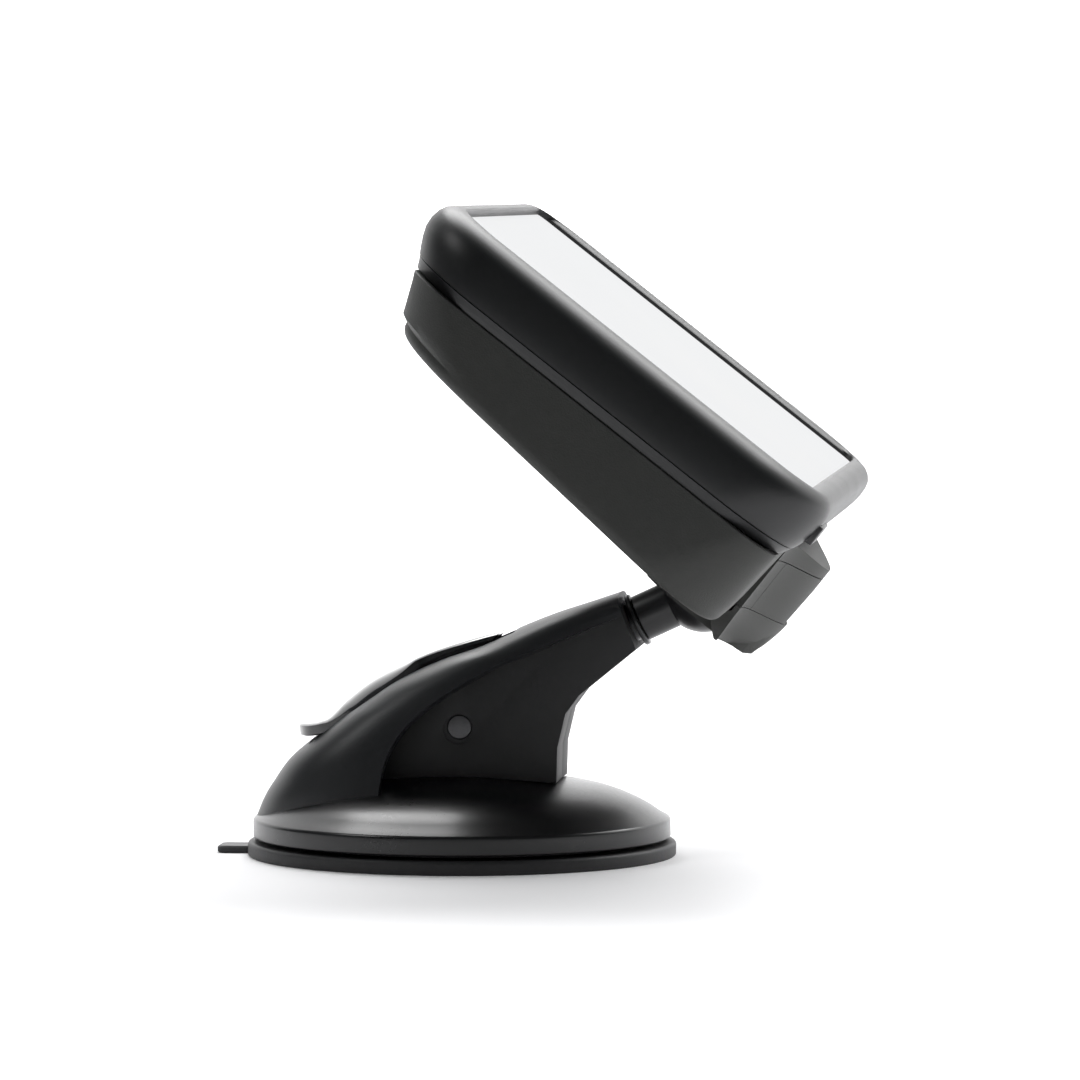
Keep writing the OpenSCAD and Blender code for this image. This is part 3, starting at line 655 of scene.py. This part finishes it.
housing = solid("rear_shell", *rear_shell(), in_head, housing_grey)
hump_floor = -22
hump = prism("hump", hump_plan(0), hump_floor, part_n - rear_gap, in_head, housing_grey)
hump_side = [(60, part_n - rear_gap), (71.4, part_n - rear_gap), (77.4, -10.8), (77.5, -13), (77, hump_floor),
             (60, hump_floor)]


def across_head(name, points, y0, y1, finish):
    """An outline down the screen and along its normal, extruded across the screen unit."""
    rings = [[(x, y, z) for x, z in points] for y in (y0, y1)]
    return solid(name, *loft(rings, capped=True), in_head, finish)


combine(hump, across_head("hump_side", hump_side, -30, 30, housing_grey), "INTERSECT")
combine(housing, hump, "UNION")


def panel_space(gap):
    """The room of the end panel, a shallow band across the hump, with a gap round it."""
    reach = panel_hw + gap
    band = prism("band", [(66, -reach), (85, -reach), (85, reach), (66, reach)],
                 -22.5, near_seam + gap, in_head, housing_grey)
    core = prism("core", hump_plan(panel_depth + gap), -40, 10, in_head, housing_grey)
    return combine(band, core, "DIFFERENCE")


panel = housing.copy()
panel.data = housing.data.copy()
panel.name = "end_band"
bpy.context.scene.collection.objects.link(panel)
combine(panel, panel_space(0), "INTERSECT")
combine(housing, panel_space(0.14), "DIFFERENCE")

bore = prism("bore", rounding((ball_down, 0), 8.58, 0, 352.5, 47), -30, -16.9, in_head, inner_black)
combine(housing, bore, "DIFFERENCE")
screw_places = [(14, -54), (14, 54), (56, -53), (56, 53)]
for down, y in screw_places:
    well = prism("well", rounding((down, y), 2.3, 0, 345, 23), -40, -14, in_head, inner_black)
    combine(housing, well, "DIFFERENCE")
window = [(8.9, 17.9), (19.1, 17.9), (19.1, 42.1), (8.9, 42.1)]
combine(housing, prism("window", window, -24, -14, in_head, inner_black), "DIFFERENCE")


def slot_row():
    """Geometry Nodes that lay slots side by side, their lengths following a circle."""
    tree = bpy.data.node_groups.new("slot_row", "GeometryNodeTree")
    tree.interface.new_socket("Geometry", in_out="OUTPUT", socket_type="NodeSocketGeometry")
    for name, kind in (("Count", "NodeSocketInt"), ("Pitch", "NodeSocketFloat"),
                       ("Slot Width", "NodeSocketFloat"), ("Circle Radius", "NodeSocketFloat"),
                       ("Depth", "NodeSocketFloat"), ("Material", "NodeSocketMaterial")):
        tree.interface.new_socket(name, in_out="INPUT", socket_type=kind)
    nodes, links = tree.nodes, tree.links

    def add(kind, settings=(), inputs=()):
        node = nodes.new(kind)
        for key, value in dict(settings).items():
            setattr(node, key, value)
        for key, value in dict(inputs).items():
            if isinstance(value, bpy.types.NodeSocket):
                links.new(value, node.inputs[key])
            else:
                node.inputs[key].default_value = value
        return node

    given = add("NodeGroupInput")
    spread = add("ShaderNodeMath", {"operation": "MULTIPLY"},
                 {0: given.outputs["Pitch"], 1: given.outputs["Count"]})
    row = add("GeometryNodeMeshLine", {"mode": "OFFSET"}, {"Count": given.outputs["Count"]})
    step = add("ShaderNodeCombineXYZ", {}, {"X": given.outputs["Pitch"]})
    links.new(step.outputs[0], row.inputs["Offset"])
    half = add("ShaderNodeMath", {"operation": "MULTIPLY_ADD"}, {0: spread.outputs[0], 1: -0.5})
    half_pitch = add("ShaderNodeMath", {"operation": "MULTIPLY"}, {0: given.outputs["Pitch"], 1: 0.5})
    links.new(half_pitch.outputs[0], half.inputs[2])
    back = add("ShaderNodeCombineXYZ", {}, {"X": half.outputs[0]})
    centred = add("GeometryNodeTransform", {}, {"Geometry": row.outputs[0], "Translation": back.outputs[0]})
    place = add("GeometryNodeInputPosition")
    split = add("ShaderNodeSeparateXYZ", {}, {0: place.outputs[0]})
    square = add("ShaderNodeMath", {"operation": "MULTIPLY"}, {0: split.outputs[0], 1: split.outputs[0]})
    big = add("ShaderNodeMath", {"operation": "MULTIPLY"},
              {0: given.outputs["Circle Radius"], 1: given.outputs["Circle Radius"]})
    rest = add("ShaderNodeMath", {"operation": "SUBTRACT"}, {0: big.outputs[0], 1: square.outputs[0]})
    root = add("ShaderNodeMath", {"operation": "SQRT"}, {0: rest.outputs[0]})
    length = add("ShaderNodeMath", {"operation": "MULTIPLY"}, {0: root.outputs[0], 1: 2.0})
    size = add("ShaderNodeCombineXYZ", {}, {
        "X": given.outputs["Slot Width"], "Y": length.outputs[0], "Z": given.outputs["Depth"]})
    brick = add("GeometryNodeMeshCube", {}, {"Size": (1, 1, 1)})
    copies = add("GeometryNodeInstanceOnPoints", {}, {
        "Points": centred.outputs[0], "Instance": brick.outputs[0], "Scale": size.outputs[0]})
    real = add("GeometryNodeRealizeInstances", {}, {"Geometry": copies.outputs[0]})
    painted = add("GeometryNodeSetMaterial", {}, {
        "Geometry": real.outputs[0], "Material": given.outputs["Material"]})
    links.new(painted.outputs[0], add("NodeGroupOutput").inputs[0])
    return tree


def grown(name, tree, host, values):
    """The mesh that a tree of Geometry Nodes makes, as a plain object."""
    piece = bpy.data.objects.new(name, host)
    bpy.context.scene.collection.objects.link(piece)
    growth = piece.modifiers.new("growth", "NODES")
    growth.node_group = tree
    for socket in tree.interface.items_tree:
        if socket.name in values:
            growth[socket.identifier] = values[socket.name]
    bpy.context.view_layer.update()
    result = bpy.data.meshes.new_from_object(piece.evaluated_get(bpy.context.evaluated_depsgraph_get()))
    piece.modifiers.clear()
    piece.data = result
    return piece


grille = grown("grille", slot_row(), bpy.data.meshes.new("grille"), {
    "Count": 7, "Pitch": 2.6, "Slot Width": 1.2, "Circle Radius": 11.0, "Depth": 12.0,
    "Material": inner_black})
grille.data.transform(in_head @ Matrix.Translation((24, -30, -20)))
combine(housing, grille, "DIFFERENCE")
plug_rings = [[(x, 30 + y, -12.5 + z) for y, z in rounding((0, 0), 3.0, 0, 345, 23)] for x in (60, 80)]
plug_way = solid("plug_way", *loft(plug_rings, capped=True), in_head, inner_black)
combine(housing, plug_way, "DIFFERENCE")
for shell, node in ((housing, "rear_housing"), (panel, "end_panel")):
    shade(shell, 32)
    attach(shell, "screen_unit")
    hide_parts(node)

# ---- Socket cap ----
# The cap that closes the socket round the ball. Its skirt carries the housing's hump
# on below the end panel and rounds it off underneath.
skirt_drop = 7.6
skirt_steps = 14


def skirt_ring(share):
    """A ring of the skirt, that share of the way from the end panel to its underside."""
    narrowed = 1 - 0.4 * share ** 1.6
    left = 66.2 + 3.6 * share ** 2
    drawn_in = 1.6 * share ** 1.5 + 0.9 * share ** 10
    ring = [(max(left, x - drawn_in * math.cos(math.radians(90 * y / hump_hw))), y * narrowed)
            for x, y in hump_plan(0)[1:-1]]
    near, far = (left, -hump_hw * narrowed), (left, hump_hw * narrowed)
    return [(x, y, far_seam - skirt_drop * share) for x, y in [near] + ring + [far]]


cap = softened("socket_cap", "socket_ring", housing_grey, 0.3)
stadium = (rounding((ball_down, 0), 9.9, 90, 270, 24) + rounding((ball_down + 4.3, 0), 9.9, -90, 90, 24))
combine(cap, prism("stadium", stadium, -40, -22, in_head, housing_grey), "INTERSECT")
skirt_rings = [skirt_ring(i / skirt_steps) for i in range(skirt_steps + 1)]
skirt = solid("skirt", *loft(skirt_rings, capped=True), in_head, housing_grey)
room = [(40, -24.65), (67.6, -24.65), (69.5, -23.4), (69.55, -20), (40, -20)]
combine(skirt, across_head("room", room, -40, 40, housing_grey), "DIFFERENCE")
for name, radius, low, high in (("boss", 9.92, -26.35, -10), ("mouth", 8.6, -40, -20)):
    circle = rounding((ball_down, 0), radius, 0, 355, 71)
    combine(skirt, prism(name, circle, low, high, in_head, housing_grey), "DIFFERENCE")
combine(cap, skirt, "UNION")
shade(cap, 32)
for low, high in ((near_seam, -12.55), (far_seam, -21.98)):
    seam = prism("seam", hump_plan(-2), low, high, in_head, inner_black)
    seam_floor = [(50, -40)] + hump_plan(0.4)[1:-1] + [(50, 40)]
    combine(seam, prism("depth", seam_floor, -40, 0, in_head, inner_black), "DIFFERENCE")
    combine(housing, seam, "DIFFERENCE")
shade(housing, 32)

# ---- Front shell ----
# The soft-touch black frame round the display: a fat round edge, a fine crease
# low on the side, and a narrow lip that holds the glass.
glass_n = 1.0
shell_levels = [
    # height, top end, low end, half width, corner radius
    (part_n, -0.9, 70.4, 63.5, 12.6), (-9.0, -1.05, 70.7, 63.75, 12.9), (-8.3, -1.35, 71.0, 64.0, 13.2),
    (-7.62, -1.75, 71.35, 64.25, 13.5), (-7.5, -1.7, 71.25, 64.1, 13.4), (-7.38, -1.95, 71.5, 64.35, 13.6),
    (-6.4, -2.5, 71.95, 64.5, 13.8), (-5.0, -3.25, 72.4, 64.5, 14.0), (-3.4, -3.85, 72.7, 64.45, 14.0),
    (-1.8, -4.0, 72.85, 64.2, 13.9), (-0.4, -3.75, 72.75, 63.7, 13.5), (0.7, -3.2, 72.4, 62.9, 12.9),
    (1.5, -2.35, 71.7, 61.8, 12.0), (2.0, -1.4, 70.9, 60.6, 11.0), (2.2, -0.6, 70.2, 59.4, 10.0),
    (2.1, -0.2, 69.2, 57.6, 6.5), (1.8, -0.05, 68.3, 56.3, 3.2), (1.55, 0.0, 68.0, 56.0, 2.2),
    (glass_n + 0.02, 0.0, 68.0, 56.0, 2.2), (glass_n + 0.02, -1.25, 69.2, 57.2, 3.0),
    (-3.3, -1.25, 69.2, 57.2, 3.0),
    (-3.3, 0.6, 69.0, 61.6, 10.0), (part_n, 1.0, 68.8, 61.4, 10.0)]


def level_rings(levels):
    """A ring for each level of a form that lies in the screen unit's axes."""
    return [[(x, y, n) for x, y in outline(l0, l1, hw, r)] for n, l0, l1, hw, r in levels]


shell = solid("front_frame", *loft(level_rings(shell_levels + shell_levels[:1])), in_head, shell_black, 28)
button_y = -46.0
slot_y = (button_y - 6.2, button_y + 6.2)
slot = [(66, slot_y[0]), (80, slot_y[0]), (80, slot_y[1]), (66, slot_y[1])]
combine(shell, prism("slot", slot, -5.6, -1.8, in_head, inner_black), "DIFFERENCE")
shade(shell, 28)
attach(shell, "screen_unit")
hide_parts("front_shell")


# ---- Display ----
# A lit panel bonded to its cover glass, whose edge lies under the frame's lip.
# The panel shows plain white.
def lit_display():
    finish = Finish("lit_display", Roughness=0.3, Specular_IOR_Level=0.0, Emission_Strength=0.8)
    finish.tones((0.05, 0.05, 0.05), (0.06, 0.06, 0.06), finish.noise(30.0))
    glow = finish.noise(60.0, 1.0)
    finish.feed("Emission Color", finish.node("ShaderNodeMix", {"data_type": "RGBA"}, {
        0: glow, 6: (0.97, 0.985, 1.0, 1), 7: (1.0, 1.0, 1.0, 1)})["Result"])
    return finish.material


screen_white = lit_display()
glass_levels = [(-0.1, -1.1, 69.1, 57.1, 2.8), (glass_n - 0.15, -1.1, 69.1, 57.1, 2.8),
                (glass_n, -0.95, 68.95, 56.95, 2.65)]
glass = solid("cover_glass", *loft(level_rings(glass_levels), capped=True), in_head, screen_white)
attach(glass, "screen_unit")
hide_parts("display_glass")
softened("power_button", "power_key", button_black, 0.3)
softened("laser_lens", "laser_window", inner_black, 0.2)

# ---- Inner parts ----
# Boards, antennas, cells and fasteners that the shells close over. Each keeps the
# shape it has in the frame, with its own finish.


def circuit_board():
    finish = Finish("solder_mask", Roughness=0.35)
    tracks = finish.node("ShaderNodeTexBrick", {}, {
        "Vector": finish.place(), "Scale": 1 / (MM * 6), "Mortar Size": 0.03})["Fac"]
    finish.tones((0.010, 0.09, 0.045), (0.03, 0.16, 0.08), tracks * 0.6 + finish.noise(1.2) * 0.4)
    finish.grain(tracks, 0.03)
    return finish.material


def red_window():
    finish = Finish("infrared_window", Roughness=0.12, Coat_Weight=0.5)
    finish.tones((0.02, 0.002, 0.003), (0.05, 0.005, 0.007), finish.noise(8.0))
    return finish.material


def patch_ceramic():
    finish = Finish("patch_ceramic", Roughness=0.5)
    fine = finish.noise(0.4)
    finish.tones((0.62, 0.54, 0.40), (0.78, 0.70, 0.54), fine)
    finish.grain(fine, 0.01)
    return finish.material


inner_finishes = {
    "cup_core": inner_black, "pull_rod": zinc, "return_spring": zinc, "dome_screws": zinc,
    "arm_screws": black_oxide, "stud_pin": zinc, "pressure_pad": seat_white, "ball_seat": seat_white,
    "cap_screws": black_oxide, "lcd_panel": alloy, "mid_frame": alloy, "main_board": circuit_board(),
    "rf_shield": tin, "horn_antenna": alloy, "laser_sensor": inner_black, "gps_antenna": patch_ceramic(),
    "battery": tin, "speaker": inner_black, "speaker_gasket": rubber, "power_socket": inner_black,
    "button_switch": tin, "housing_screws": black_oxide}
for node, finish in inner_finishes.items():
    part = frame["nodes"][node]
    part.data.materials.clear()
    part.data.materials.append(finish)
bpy.data.objects["laser_window"].data.materials[0] = red_window()
